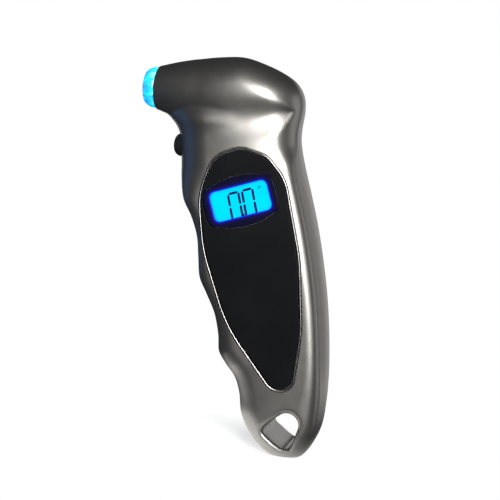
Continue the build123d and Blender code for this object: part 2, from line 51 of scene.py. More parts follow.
# ---------------------------------------------------------------- measures in millimetres, from the CAD
NOZZLE_Z = 137.2
FACE_Y, BACK_Y = 13.5, 14.4
SEAT_Y = 12.0
WALL = 2.2
NOZZLE_FACE_X = -35.5
NOZZLE_BORE_R = 7.5
BUTTON_Z, BUTTON_R = 116.0, 4.7
TILT = math.radians(20.0)
DISPLAY = (4.4, 97.2)
DOOR = (14.0, 62.0)
DOOR_W, DOOR_TOP, DOOR_BOTTOM, DOOR_T = 26.0, 22.0, -25.5, 2.2
DOOR_CORNER_R = 4.0
HOUSING_SCREWS = [(17.5, 26.5), (34.0, 27.0), (-14.0, 127.0), (15.0, 127.0)]
SCREW_HEAD_Y, SCREW_HEAD_R, BOSS_R = 6.0, 2.2, 3.0
SOLID_BELOW_Z = 22.0
# the lanyard hole is the hull of three circles, each given as x, z and radius
HOLE = [(23.9, 11.0, 2.4), (30.3, 7.4, 3.0), (30.6, 14.2, 4.5)]
HOLE_RIM_R = 2.0
# corners of the dark panel, each given as a place and a radius
PANEL_CORNERS = [
    ((2.6, 118.0), 10), ((-7.9, 113.6), 11), ((-12.3, 98.0), 26), ((-8.6, 77.0), 60), ((3.4, 49.0), 60),
    ((24.0, 25.8), 7), ((32.0, 28.2), 5), ((33.3, 50.0), 60), ((29.8, 78.0), 80), ((21.4, 107.2), 18),
    ((13.4, 115.6), 10),
]
# silhouette of the handle and of the right part of the head, clockwise from the tip of the tail
BODY_LINE = [
    (31.5, 0.15), (24.8, 0.35), (19.3, 3.5), (14.1, 9.2), (10.8, 15.4), (9.4, 22.5), (7.1, 28.7), (3.3, 33.3),
    (0.0, 38.2), (-0.8, 45.0), (-2.8, 53.0), (-6.4, 60.0), (-9.8, 66.2), (-11.1, 74.0), (-12.4, 81.8),
    (-15.4, 89.2), (-19.4, 95.8), (-22.2, 104.2), (-23.7, 112.0), (-24.8, 119.0), (-25.3, 128.5),
    (-23.5, 141.0), (-17.5, 149.0), (-9.0, 151.1), (-1.0, 151.4), (7.0, 149.4), (14.0, 146.6),
    (19.1, 143.3), (22.1, 138.8), (22.9, 133.6), (22.3, 127.0), (22.5, 121.5), (24.7, 112.6), (28.5, 101.2),
    (32.1, 90.0), (35.7, 76.4), (38.8, 62.2), (41.1, 47.2), (42.3, 34.0), (42.36, 22.0), (41.6, 12.0),
    (39.1, 5.0), (36.1, 1.3),
]
# radius of the round nozzle and head along X
BARREL = [
    (-50.0, 4.6), (-35.5, 8.45), (-28.0, 10.6), (-18.0, 12.7), (-8.0, 14.1), (-1.0, 14.35), (6.0, 13.2),
    (14.5, 9.6), (20.0, 5.0), (22.4, 0.0),
]

# ---------------------------------------------------------------- how the housing's surface is rounded
# heights between which one stretch of the handle turns into the next
TAIL_BLEND, GRIP_BLEND, NECK_BLEND = (20, 42), (34, 62), (92, 110)
SHOULDER_BLEND, HEAD_BLEND = (112, 122), (122, 136)
# the line that parts left from right leans with the handle
MIDDLE_X, MIDDLE_Z, MIDDLE_LEAN, MIDDLE_BLEND = 4, 125, 0.30, (-8, 8)
# radii of the long edges, and what is added to them in places
EDGE_LEFT, EDGE_RIGHT, EDGE_HEAD, EDGE_TAIL, EDGE_REAR = 4.6, 3.4, 10.8, 8.2, 5.0
NECK_MORE, GRIP_MORE, SHOULDER_MORE, REAR_HEAD_MORE = 8.8, 3.6, 4.0, 5.0
TAIL_RIGHT_LESS = 2.6
# how far the right side wall leans in for each millimetre from the parting plane, past a rounded start
DRAFT_FRONT, DRAFT_REAR, DRAFT_LEAST = 0.20, 0.10, 0.03
DRAFT_TAIL_LESS, DRAFT_START_Y = 0.6, 3.0
# low ridge along the head
RIDGE_RISE, RIDGE_Z, RIDGE_SPREAD, RIDGE_END = 1.05, 138.0, 6.5, (8, 19)
# fall of the face towards its sides, over the head and neck and over the tail
CROWN_FALL, CROWN_X, CROWN_RIGHT, CROWN_LEFT, CROWN_LIMIT = 2.6, -1.0, 20.5, 24.0, 1.1
CROWN_BLEND = (103, 122)
TAIL_FALL, TAIL_FALL_X, TAIL_FALL_WIDTH, TAIL_FALL_LIMIT = 1.5, 25.0, 15.0, 1.2
TAIL_FALL_BLEND = (18, 36)
REAR_CROWN_SHARE = 0.5
# hollow between head and neck: its right end, how its middle falls to the left, and its depth
VALLEY_X, VALLEY_Z, VALLEY_LEAN = 20.8, 132.7, 0.33
VALLEY_DEPTH, VALLEY_THINNING, VALLEY_ONSET = 2.0, 0.052, 2.2
# least width of each side of the hollow, and what it gains, over what length, and its slope beyond
VALLEY_START = 0.05
VALLEY_UPPER = (8.0, 7.0, 0.26)
VALLEY_LOWER = (15.0, 5.0, -0.23)
# how the round nozzle and the neck are joined: where each gives way, and the fillet between them
BARREL_SLOPE = 0.97
FILLET_LEAST, FILLET_MORE, FILLET_BLEND = 1.2, 6.8, (127, 136)
NECK_SINK, NECK_SINK_BLEND = 6.0, (125, 134)
JOIN_X_BLEND, JOIN_Z_BLEND = (-22, 4), (112, 120)
# groove where the two halves meet
GROOVE_HALF, GROOVE_DEPTH = 0.14, 0.16


# ---------------------------------------------------------------- curves
def closed_curve(points, steps=8):
    """Smooth closed run through the points."""
    p = np.array(points, float)
    out = []
    t = np.linspace(0, 1, steps, endpoint=False)[:, None]
    for i in range(len(p)):
        a, b, c, d = p[i - 1], p[i], p[(i + 1) % len(p)], p[(i + 2) % len(p)]
        square = 2 * a - 5 * b + 4 * c - d
        cube = 3 * b - a - 3 * c + d
        out.append(0.5 * (2 * b + (c - a) * t + square * t ** 2 + cube * t ** 3))
    return np.vstack(out)


def rounded_corners(corners, steps=10):
    """Closed run of straight sides whose corners are arcs of the given radii."""
    out = []
    n = len(corners)
    for i in range(n):
        p, radius = np.array(corners[i][0], float), corners[i][1]
        u = np.array(corners[i - 1][0], float) - p
        v = np.array(corners[(i + 1) % n][0], float) - p
        u /= np.linalg.norm(u)
        v /= np.linalg.norm(v)
        half = math.acos(np.clip(u @ v, -1, 1)) / 2
        centre = p + (u + v) / np.linalg.norm(u + v) * radius / math.sin(half)
        start = p + u * radius / math.tan(half) - centre
        turn = math.pi - 2 * half
        if u[0] * v[1] - u[1] * v[0] > 0:
            turn = -turn
        for k in range(steps + 1):
            c, s = math.cos(turn * k / steps), math.sin(turn * k / steps)
            out.append(centre + (start[0] * c - start[1] * s, start[0] * s + start[1] * c))
    return np.array(out)


def outline_distance(loop, x, z):
    """Signed distance to a closed line, positive inside it."""
    p, q = loop, np.roll(loop, -1, axis=0)
    flat_x, flat_z = x.ravel(), z.ravel()
    best = np.full(flat_x.shape, 1e9)
    inside = np.zeros(flat_x.shape, bool)
    for (ax, az), (bx, bz) in zip(p, q):
        ex, ez = bx - ax, bz - az
        t = np.clip(((flat_x - ax) * ex + (flat_z - az) * ez) / (ex * ex + ez * ez), 0, 1)
        best = np.minimum(best, (flat_x - ax - t * ex) ** 2 + (flat_z - az - t * ez) ** 2)
        crosses = (az > flat_z) != (bz > flat_z)
        if ez:
            inside ^= crosses & (flat_x < ax + (flat_z - az) * ex / ez)
    d = np.sqrt(best)
    return np.where(inside, d, -d).reshape(x.shape)


def smooth(value, low, high):
    """Eased step from 0 at low to 1 at high."""
    t = np.clip((value - low) / (high - low), 0, 1)
    return t * t * (3 - 2 * t)


def spline(x, points):
    """Smooth height over x through the points, from cubic pieces with matched slopes."""
    px = np.array([p[0] for p in points])
    py = np.array([p[1] for p in points])
    slope = np.gradient(py, px)
    i = np.clip(np.searchsorted(px, x) - 1, 0, len(px) - 2)
    h = px[i + 1] - px[i]
    t = np.clip((x - px[i]) / h, 0, 1)
    return ((2 * t ** 3 - 3 * t ** 2 + 1) * py[i] + (t ** 3 - 2 * t ** 2 + t) * h * slope[i]
            + (-2 * t ** 3 + 3 * t ** 2) * py[i + 1] + (t ** 3 - t ** 2) * h * slope[i + 1])


# ---------------------------------------------------------------- the housing's surface
BODY_LOOP = closed_curve(BODY_LINE)


def hole_distance(x, z, directions=72):
    """Distance outside the lanyard hole, from how far its hull reaches in each direction."""
    d = np.full(x.shape, -1e9)
    for k in range(directions):
        a = 2 * math.pi * k / directions
        reach = max(cx * math.cos(a) + cz * math.sin(a) + r for cx, cz, r in HOLE)
        d = np.maximum(d, x * math.cos(a) + z * math.sin(a) - reach)
    return d


def valley_width(u, gain, length, slope):
    """Width of one side of the hollow at a distance u from its right end."""
    return VALLEY_START + slope * u + gain * (1 - np.exp(-u / length))


def valley(x, z):
    """Depth of the hollow between the head and the neck: a crease at the right that opens to the left."""
    u = np.maximum(VALLEY_X - x, 0)
    up = valley_width(u, *VALLEY_UPPER)
    down = np.maximum(valley_width(u, *VALLEY_LOWER), VALLEY_START)
    v = z - (VALLEY_Z - VALLEY_LEAN * u)
    across = np.cos(np.clip(np.where(v > 0, v / up, -v / down), 0, 1) * math.pi / 2) ** 2
    depth = (VALLEY_DEPTH - VALLEY_THINNING * u) * (1 - np.exp(-u / VALLEY_ONSET))
    return across * depth * (x < VALLEY_X)


def edge_radius(z, front, right, head, tail):
    """Radius of the handle's long edges."""
    left = EDGE_LEFT + NECK_MORE * smooth(z, *NECK_BLEND) * (1 - right)
    left = left + GRIP_MORE * (1 - smooth(z, *GRIP_BLEND)) * (1 - right)
    edge = left * (1 - right) + (EDGE_RIGHT + SHOULDER_MORE * smooth(z, *SHOULDER_BLEND)) * right
    edge = edge * (1 - head) + EDGE_HEAD * head
    edge = edge * (1 - tail) + (EDGE_TAIL - TAIL_RIGHT_LESS * right) * tail
    return np.where(front, edge, np.minimum(edge, EDGE_REAR + REAR_HEAD_MORE * head))


def face_depth(x, z, front):
    """Distance from the parting plane to the front or the back face."""
    ridge = RIDGE_RISE * np.exp(-((z - RIDGE_Z) / RIDGE_SPREAD) ** 2) * (1 - smooth(x, *RIDGE_END))
    aside = (x - CROWN_X) / np.where(x > CROWN_X, CROWN_RIGHT, CROWN_LEFT)
    crown = CROWN_FALL * np.clip(aside, -CROWN_LIMIT, CROWN_LIMIT) ** 2 * smooth(z, *CROWN_BLEND)
    low_left = np.clip((TAIL_FALL_X - x) / TAIL_FALL_WIDTH, 0, TAIL_FALL_LIMIT)
    crown = crown + TAIL_FALL * low_left ** 2 * (1 - smooth(z, *TAIL_FALL_BLEND))
    return np.where(front, FACE_Y + ridge - crown - valley(x, z), BACK_Y - REAR_CROWN_SHARE * crown)


def handle_field(x, y, z):
    """The handle and the head, as a slab of the outline with rounded edges."""
    front = y < 0
    right = smooth(x - (MIDDLE_X + MIDDLE_LEAN * (MIDDLE_Z - z)), *MIDDLE_BLEND)
    head = smooth(z, *HEAD_BLEND)
    tail = 1 - smooth(z, *TAIL_BLEND)
    edge = edge_radius(z, front, right, head, tail)
    side = np.where(front, DRAFT_FRONT, DRAFT_REAR) * right * (1 - head) * (1 - DRAFT_TAIL_LESS * tail)
    draft = (side + DRAFT_LEAST) * (np.hypot(y, DRAFT_START_Y) - DRAFT_START_Y)
    inset = np.maximum(edge - outline_distance(BODY_LOOP, x, z) + draft, 0)
    rise = np.maximum(np.abs(y) - (face_depth(x, z, front) - edge), 0)
    return np.hypot(inset, rise) - edge


def housing_field(p):
    """Signed distance, in millimetres, to the outside of the housing: negative inside."""
    x, y, z = p[..., 0], p[..., 1], p[..., 2]
    handle = handle_field(x, y, z)
    # the round nozzle grows out of the head and is filleted into the neck
    barrel = (np.hypot(y, z - NOZZLE_Z) - spline(x, BARREL)) * BARREL_SLOPE
    low = handle + NECK_SINK * smooth(z, *NECK_SINK_BLEND)
    fillet = FILLET_LEAST + FILLET_MORE * (1 - smooth(z, *FILLET_BLEND))
    corner = np.hypot(np.maximum(fillet - low, 0), np.maximum(fillet - barrel, 0))
    joined = np.maximum(fillet, np.minimum(low, barrel)) - corner
    share = np.maximum(smooth(x, *JOIN_X_BLEND), 1 - smooth(z, *JOIN_Z_BLEND))
    both = np.maximum(joined * (1 - share) + handle * share, NOZZLE_FACE_X - x)
    # the lanyard hole is cut through with a rounded rim
    hole = -hole_distance(x, z)
    rim = np.hypot(np.maximum(HOLE_RIM_R + both, 0), np.maximum(HOLE_RIM_R + hole, 0))
    return np.minimum(-HOLE_RIM_R, np.maximum(both, hole)) + rim


def shell_field(p):
    """The housing with its hollow, less the bosses that stand in it."""
    outside = housing_field(p)
    inner = np.maximum(outside + WALL, SOLID_BELOW_Z - p[..., 2])
    for bx, bz in HOUSING_SCREWS:
        inner = np.maximum(inner, BOSS_R - np.hypot(p[..., 0] - bx, p[..., 2] - bz))
    return np.maximum(outside, -inner)


def surface_net(field, low, high, step):
    """Quads over the zero surface of the field, one vertex in each cell that it crosses."""
    counts = [int(math.ceil((end - start) / step)) + 1 for start, end in zip(low, high)]
    axes = [start + step * np.arange(count) for start, count in zip(low, counts)]
    grid = np.stack(np.meshgrid(*axes, indexing="ij"), -1)
    value = field(grid)
    total = np.zeros([c - 1 for c in counts] + [3])
    hits = np.zeros([c - 1 for c in counts])
    quads = []
    crossings = []
    for axis in range(3):
        a = np.take(value, range(counts[axis] - 1), axis)
        b = np.take(value, range(1, counts[axis]), axis)
        crossed = (a < 0) != (b < 0)
        place = np.argwhere(crossed)
        av, bv = a[crossed], b[crossed]
        point = np.stack([axes[k][place[:, k]] for k in range(3)], -1)
        point[:, axis] += step * av / (av - bv)
        others = [k for k in range(3) if k != axis]
        crossings.append((axis, place, av < 0))
        for du in (0, -1):
            for dv in (0, -1):
                cell = place.copy()
                cell[:, others[0]] += du
                cell[:, others[1]] += dv
                ok = np.all((cell >= 0) & (cell < np.array(counts) - 1), axis=1)
                np.add.at(total, tuple(cell[ok].T), point[ok])
                np.add.at(hits, tuple(cell[ok].T), 1)
    used = hits > 0
    number = np.full(hits.shape, -1)
    number[used] = np.arange(used.sum())
    verts = total[used] / hits[used][:, None]
    for axis, place, rising in crossings:
        u, v = [(1, 2), (2, 0), (0, 1)][axis]
        corner = []
        for du, dv in ((-1, -1), (0, -1), (0, 0), (-1, 0)):
            cell = place.copy()
            cell[:, u] += du
            cell[:, v] += dv
            corner.append(number[tuple(cell.T)])
        ring = np.stack(corner, -1)
        ring[~rising] = ring[~rising][:, ::-1]
        quads.append(ring)
    return verts, np.vstack(quads)


def snap(field, verts, rounds=3):
    """Moves the vertices onto the field's zero surface."""
    probe, least_square, longest_move = 0.05, 0.25, 0.35
    for _ in range(rounds):
        slopes = [(field(verts + d) - field(verts - d)) / (2 * probe) for d in np.eye(3) * probe]
        slope = np.stack(slopes, -1)
        square = np.maximum((slope ** 2).sum(-1), least_square)
        move = slope * (field(verts) / square)[:, None]
        length = np.linalg.norm(move, axis=1)
        verts = verts - move * np.minimum(1, longest_move / np.maximum(length, 1e-9))[:, None]
    return verts


# ---------------------------------------------------------------- meshes
def make_object(name, verts, faces, material, smooth_faces=True):
    """New object from places in millimetres."""
    mesh = bpy.data.meshes.new(name)
    places = [tuple(v) for v in np.asarray(verts) * MM]
    mesh.from_pydata(places, [], [tuple(int(i) for i in f) for f in faces])
    mesh.validate()
    obj = bpy.data.objects.new(name, mesh)
    bpy.context.collection.objects.link(obj)
    for face in mesh.polygons:
        face.use_smooth = smooth_faces
    if material:
        mesh.materials.append(material)
    return obj


def tilted(points, centre, tilt):
    """Points (u, v) of a plane turned by tilt about its centre, as (x, z)."""
    p = np.asarray(points, float)
    c, s = math.cos(tilt), math.sin(tilt)
    return np.stack([centre[0] + c * p[:, 0] - s * p[:, 1], centre[1] + s * p[:, 0] + c * p[:, 1]], -1)


def rounded_box(width, height, radius, steps=10):
    """Rectangle about the origin with four equal corners."""
    w, h = width / 2, height / 2
    return rounded_corners([(corner, radius) for corner in ((-w, h), (w, h), (w, -h), (-w, -h))], steps)


def loop_normals(loop):
    """Outward unit normals of a closed run of points."""
    tangent = np.roll(loop, -1, axis=0) - np.roll(loop, 1, axis=0)
    tangent /= np.linalg.norm(tangent, axis=1)[:, None]
    normal = np.stack([tangent[:, 1], -tangent[:, 0]], -1)
    x, z = loop[:, 0], loop[:, 1]
    area = 0.5 * np.sum(x * np.roll(z, -1) - np.roll(x, -1) * z)
    return normal if area > 0 else -normal


def even_loop(loop, spacing):
    """The same closed run with points about the given spacing apart."""
    closed = np.vstack([loop, loop[:1]])
    run = np.concatenate([[0], np.cumsum(np.linalg.norm(np.diff(closed, axis=0), axis=1))])
    count = int(run[-1] / spacing)
    at = np.linspace(0, run[-1], count, endpoint=False)
    return np.stack([np.interp(at, run, closed[:, k]) for k in range(2)], -1)


def band(loop, profile, closed_profile=False):
    """Vertices and faces of a profile of (outset, y) carried round the loop."""
    n, m = len(loop), len(profile)
    verts = []
    for place, normal in zip(loop, loop_normals(loop)):
        for out, y in profile:
            x, z = place + normal * out
            verts.append((x, y, z))
    faces = []
    for i in range(n):
        j = (i + 1) % n
        for k in range(m if closed_profile else m - 1):
            after = (k + 1) % m
            faces.append((i * m + k, i * m + after, j * m + after, j * m + k))
    return verts, faces


def fill_between(bm, rings):
    """Flat faces across the closed rings of vertex numbers, the later ones being holes."""
    edges = []
    for ring in rings:
        for i, number in enumerate(ring):
            after = ring[(i + 1) % len(ring)]
            edges.append(bm.edges.get((bm.verts[number], bm.verts[after])))
    filled = bmesh.ops.triangle_fill(bm, edges=edges, use_beauty=True)
    for face in filled["geom"]:
        if isinstance(face, bmesh.types.BMFace):
            face.smooth = False


def plate(name, outer, outer_profile, material, inner=None, inner_profile=None):
    """Flat-faced plate: the profiles run from the front face's edge back to the rear edge."""
    verts, faces = band(outer, outer_profile)
    m = len(outer_profile)
    fronts = [[i * m for i in range(len(outer))]]
    backs = [[i * m + m - 1 for i in range(len(outer))]]
    if inner is not None:
        start = len(verts)
        more, more_faces = band(inner, inner_profile)
        k = len(inner_profile)
        verts += more
        faces += [tuple(start + i for i in f) for f in more_faces]
        fronts.append([start + i * k for i in range(len(inner))])
        backs.append([start + i * k + k - 1 for i in range(len(inner))])
    obj = make_object(name, verts, faces, material)
    bm = bmesh.new()
    bm.from_mesh(obj.data)
    bm.verts.ensure_lookup_table()
    fill_between(bm, fronts)
    fill_between(bm, backs)
    bmesh.ops.recalc_face_normals(bm, faces=bm.faces)
    bm.to_mesh(obj.data)
    bm.free()
    return obj


def tube_faces(n):
    """Faces of a closed solid whose two ends are rings of n vertices, one after the other."""
    faces = [tuple(range(n)), tuple(range(2 * n - 1, n - 1, -1))]
    return faces + [(i, (i + 1) % n, n + (i + 1) % n, n + i) for i in range(n)]


def prism(loop, y0, y1):
    """Vertices and faces of a closed solid between two depths."""
    return [(x, y, z) for y in (y0, y1) for x, z in loop], tube_faces(len(loop))


def circle(centre, radius, steps=40):
    """Points round a circle."""
    turns = [2 * math.pi * k / steps for k in range(steps)]
    return np.array([(centre[0] + radius * math.cos(a), centre[1] + radius * math.sin(a)) for a in turns])


def rod(radius, x0, x1, z, steps=64):
    """Vertices and faces of a closed cylinder along X."""
    ring = circle((0.0, z), radius, steps)
    return [(x, y, h) for x in (x0, x1) for y, h in ring], tube_faces(steps)


def cutter(solids):
    """One object made of several closed solids, to be cut out of another."""
    verts, faces = [], []
    for more, more_faces in solids:
        start = len(verts)
        verts += list(more)
        faces += [tuple(start + i for i in f) for f in more_faces]
    obj = make_object("cutter", verts, faces, None)
    bm = bmesh.new()
    bm.from_mesh(obj.data)
    bmesh.ops.recalc_face_normals(bm, faces=bm.faces)
    bm.to_mesh(obj.data)
    bm.free()
    return obj


def cut(obj, tool):
    """Takes the tool's volume out of the object and removes the tool."""
    change = obj.modifiers.new("cut", "BOOLEAN")
    change.operation = "DIFFERENCE"
    change.solver = "EXACT"
    change.object = tool
    bpy.context.view_layer.update()
    graph = bpy.context.evaluated_depsgraph_get()
    mesh = bpy.data.meshes.new_from_object(obj.evaluated_get(graph))
    obj.modifiers.clear()
    obj.data = mesh
    bpy.data.objects.remove(tool)


# ---------------------------------------------------------------- materials
def base_material(name, colour, metallic=0.0, roughness=0.5, coat=0.0, coat_roughness=0.05, specular=0.5):
    """New node material with its even values set, its node tree and its shader."""
    material = bpy.data.materials.new(name)
    material.use_nodes = True
    shader = material.node_tree.nodes["Principled BSDF"]
    shader.inputs["Base Color"].default_value = (*colour, 1)
    shader.inputs["Metallic"].default_value = metallic
    shader.inputs["Roughness"].default_value = roughness
    shader.inputs["Coat Weight"].default_value = coat
    shader.inputs["Coat Roughness"].default_value = coat_roughness
    shader.inputs["Specular IOR Level"].default_value = specular
    return material, material.node_tree, shader


def noise(tree, scale, detail=3.0, roughness=0.5, source=None):
    """Noise over the object's own coordinates, with scale in features per metre."""
    node = tree.nodes.new("ShaderNodeTexNoise")
    node.inputs["Scale"].default_value = scale
    node.inputs["Detail"].default_value = detail
    node.inputs["Roughness"].default_value = roughness
    if source is None:
        source = tree.nodes.new("ShaderNodeTexCoord").outputs["Object"]
    tree.links.new(source, node.inputs["Vector"])
    return node


def ramp(tree, factor, stops):
    """Colour over a factor, from places and colours in order."""
    node = tree.nodes.new("ShaderNodeValToRGB")
    ends = node.color_ramp.elements
    for end, (place, colour) in zip(ends[:], (stops[0], stops[-1])):
        end.position = place
        end.color = (*colour, 1)
    for place, colour in stops[1:-1]:
        ends.new(place).color = (*colour, 1)
    tree.links.new(factor, node.inputs["Fac"])
    return node


def bump(tree, shader, height, strength, distance):
    """Fine relief from a height."""
    node = tree.nodes.new("ShaderNodeBump")
    node.inputs["Strength"].default_value = strength
    node.inputs["Distance"].default_value = distance
    tree.links.new(height, node.inputs["Height"])
    tree.links.new(node.outputs["Normal"], shader.inputs["Normal"])


def shade(tree, factor, low, high):
    """Maps 0..1 to a range."""
    node = tree.nodes.new("ShaderNodeMapRange")
    node.inputs["To Min"].default_value = low
    node.inputs["To Max"].default_value = high
    tree.links.new(factor, node.inputs["Value"])
    return node.outputs["Result"]


def grained(name, colour, spread=0.12, metallic=0.0, roughness=0.5, rough_spread=0.08, scale=3000.0,
            height=0.00002, strength=0.25, coat=0.0, coat_roughness=0.05, specular=0.5):
    """A moulded or painted finish with slight mottling, uneven gloss and fine grain."""
    material, tree, shader = base_material(name, colour, metallic, roughness, coat, coat_roughness, specular)
    fine = noise(tree, scale, 3.0)
    broad = noise(tree, scale / 45.0, 3.0)
    low = tuple(c * (1 - spread) for c in colour)
    high = tuple(min(1.0, c * (1 + spread)) for c in colour)
    tint = ramp(tree, broad.outputs["Fac"], [(0.3, low), (0.7, high)])
    tree.links.new(tint.outputs["Color"], shader.inputs["Base Color"])
    gloss = shade(tree, broad.outputs["Fac"], roughness - rough_spread, roughness + rough_spread)
    tree.links.new(gloss, shader.inputs["Roughness"])
    bump(tree, shader, fine.outputs["Fac"], strength, height)
    return material


paint = grained("champagne_paint", (0.37, 0.355, 0.33), spread=0.03, metallic=0.97, roughness=0.37,
                rough_spread=0.02, scale=9000.0, height=0.00001, strength=0.12, coat=0.08,
                coat_roughness=0.25)
bright = grained("satin_bead", (0.46, 0.45, 0.43), spread=0.04, metallic=1.0, roughness=0.27, scale=6000.0,
                 height=0.000005)
charcoal = grained("charcoal_texture", (0.0042, 0.0044, 0.0052), spread=0.15, roughness=0.46, scale=2600.0,
                   height=0.00005, strength=0.35, specular=0.09)
black_gloss = grained("black_gloss", (0.010, 0.010, 0.014), roughness=0.22, scale=4000.0, height=0.000004,
                      coat=0.4)
rubber = grained("black_rubber", (0.018, 0.018, 0.018), roughness=0.75, scale=3500.0, height=0.00003)
silicone = grained("clear_silicone", (0.62, 0.62, 0.58), roughness=0.45, scale=2500.0, height=0.00001)
brass = grained("turned_brass", (0.70, 0.50, 0.20), metallic=1.0, roughness=0.28, scale=5000.0,
                height=0.000006)
steel = grained("plated_steel", (0.56, 0.56, 0.55), metallic=1.0, roughness=0.3, scale=5200.0,
                height=0.000006)
board_mask = grained("green_board", (0.02, 0.16, 0.06), roughness=0.35, scale=2200.0, height=0.00001,
                     coat=0.3)
black_plastic = grained("black_plastic", (0.02, 0.02, 0.02), roughness=0.5, scale=2600.0, height=0.00002)
white_plastic = grained("white_plastic", (0.72, 0.72, 0.69), roughness=0.45, scale=2400.0, height=0.00002)
red_wire = grained("red_insulation", (0.42, 0.03, 0.02), roughness=0.42, scale=3000.0, height=0.00001)
cell_steel = grained("cell_can", (0.60, 0.60, 0.58), metallic=1.0, roughness=0.24, scale=4800.0,
                     height=0.000005)

# ---------------------------------------------------------------- housing
NET_STEP = 0.8
NET_LOW, NET_HIGH = (-38.0, -16.5, -2.0), (45.0, 16.5, 154.0)
# how far the openings reach, and the clearance round what sits in them
OUTSIDE_Y = 22.0
NOSE_SEAT, NOSE_CLEARANCE = 5.2, 0.02
BUTTON_HOLE_X, BUTTON_CLEARANCE = (-34.0, -14.0), 0.05
PANEL_CLEARANCE = 0.22
DOOR_SEAT = 0.9
WINDOW_W, WINDOW_H, WINDOW_R, WINDOW_Y = 27.0, 14.4, 1.5, (-5.0, -20.0)

shell_verts, shell_faces = surface_net(shell_field, NET_LOW, NET_HIGH, NET_STEP)
shell_verts = snap(shell_field, shell_verts)
panel_loop = rounded_corners(PANEL_CORNERS, 14)
door_shape = rounded_box(DOOR_W, DOOR_TOP - DOOR_BOTTOM, DOOR_CORNER_R) + (0, (DOOR_TOP + DOOR_BOTTOM) / 2)
door_loop = tilted(door_shape, DOOR, TILT)
window_loop = tilted(rounded_box(WINDOW_W, WINDOW_H, WINDOW_R), DISPLAY, TILT)


def parting_edge(bm, side):
    """Cuts the mesh at the parting plane, with a fine groove along its outer edge."""
    for depth in (GROOVE_HALF, 0.0):
        everything = bm.verts[:] + bm.edges[:] + bm.faces[:]
        bmesh.ops.bisect_plane(bm, geom=everything, plane_co=(0, side * depth * MM, 0),
                               plane_no=(0, -side, 0), clear_outer=depth == 0.0, dist=1e-7)
    on_plane = 2e-6
    rim = [v for v in bm.verts if abs(v.co.y) < on_plane]
    bm.normal_update()
    for v in rim:
        flat = Vector((v.normal.x, 0, v.normal.z))
        if flat.length > 1e-6:
            v.co -= flat.normalized() * GROOVE_DEPTH * MM


def half_housing(name, front):
    """One of the two mouldings, from the parting plane to the face, with its openings."""
    obj = make_object(name, shell_verts, shell_faces, paint)
    bore = rod(NOZZLE_BORE_R + NOSE_CLEARANCE, NOZZLE_FACE_X - 2, NOZZLE_FACE_X + NOSE_SEAT, NOZZLE_Z)
    tools = [bore, rod(BUTTON_R + BUTTON_CLEARANCE, *BUTTON_HOLE_X, BUTTON_Z)]
    if front:
        seat = panel_loop + loop_normals(panel_loop) * PANEL_CLEARANCE
        tools.append(prism(seat, -SEAT_Y, -OUTSIDE_Y))
        cut(obj, cutter([prism(window_loop, *WINDOW_Y)]))
    else:
        tools.append(prism(door_loop, BACK_Y - DOOR_T - DOOR_SEAT, OUTSIDE_Y))
        for place in HOUSING_SCREWS:
            tools.append(prism(circle(place, SCREW_HEAD_R), SCREW_HEAD_Y, OUTSIDE_Y))
    cut(obj, cutter(tools))
    bm = bmesh.new()
    bm.from_mesh(obj.data)
    parting_edge(bm, -1 if front else 1)
    bm.to_mesh(obj.data)
    bm.free()
    for face in obj.data.polygons:
        face.use_smooth = True
    obj.data.set_sharp_from_angle(angle=math.radians(38))
    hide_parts("front_shell" if front else "rear_shell")
    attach(obj, "housing")


half_housing("housing_front", True)
half_housing("housing_rear", False)

# ---------------------------------------------------------------- bead round the panel
# across the bead: outset from the panel's outline, and depth
bead_profile = [
    (-0.1, -SEAT_Y), (-0.12, -FACE_Y - 0.10), (-0.2, -FACE_Y - 0.30), (-0.36, -FACE_Y - 0.42),
    (-0.52, -FACE_Y - 0.42), (-0.68, -FACE_Y - 0.30), (-0.76, -FACE_Y - 0.08), (-0.8, -SEAT_Y),
]
verts, faces = band(even_loop(panel_loop, 0.7), bead_profile, True)
bead = make_object("panel_bead", verts, faces, bright)
bead.data.set_sharp_from_angle(angle=math.radians(60))
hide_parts("panel_trim_ring")
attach(bead, "housing")


# ---------------------------------------------------------------- panel, window and display
PANEL_INSET, PANEL_PROUD = 1.1, 0.1
LENS_HALF_W, LENS_END, LENS_MIDDLE, LENS_BULGE = 13.8, 6.4, 9.9, 0.7
LENS_CLEARANCE = 0.18
LIT_W, LIT_H, LIT_R = 23.0, 11.7, 2.2
LENS_FACE_Y = -12.9
SCREEN_Y, SCREEN_BACK_Y, SCREEN_MARGIN = -12.0, -7.0, 2.6
LOOP_STEP = 0.7


def arc_through(a, b, c, steps):
    """Points from a to c on the circle through b."""
    (ax, ay), (bx, by), (cx, cy) = a, b, c
    d = 2 * (ax * (by - cy) + bx * (cy - ay) + cx * (ay - by))
    aa, bb, cc = ax * ax + ay * ay, bx * bx + by * by, cx * cx + cy * cy
    ux = (aa * (by - cy) + bb * (cy - ay) + cc * (ay - by)) / d
    uy = (aa * (cx - bx) + bb * (ax - cx) + cc * (bx - ax)) / d
    r = math.hypot(ax - ux, ay - uy)
    t0, t1, t2 = (math.atan2(y - uy, x - ux) for x, y in (a, b, c))
    while t1 < t0:
        t1 += 2 * math.pi
    while t2 < t0:
        t2 += 2 * math.pi
    if not t0 <= t1 <= t2:
        t2 -= 2 * math.pi
    turns = [t0 + (t2 - t0) * k / steps for k in range(steps)]
    return [(ux + r * math.cos(turn), uy + r * math.sin(turn)) for turn in turns]


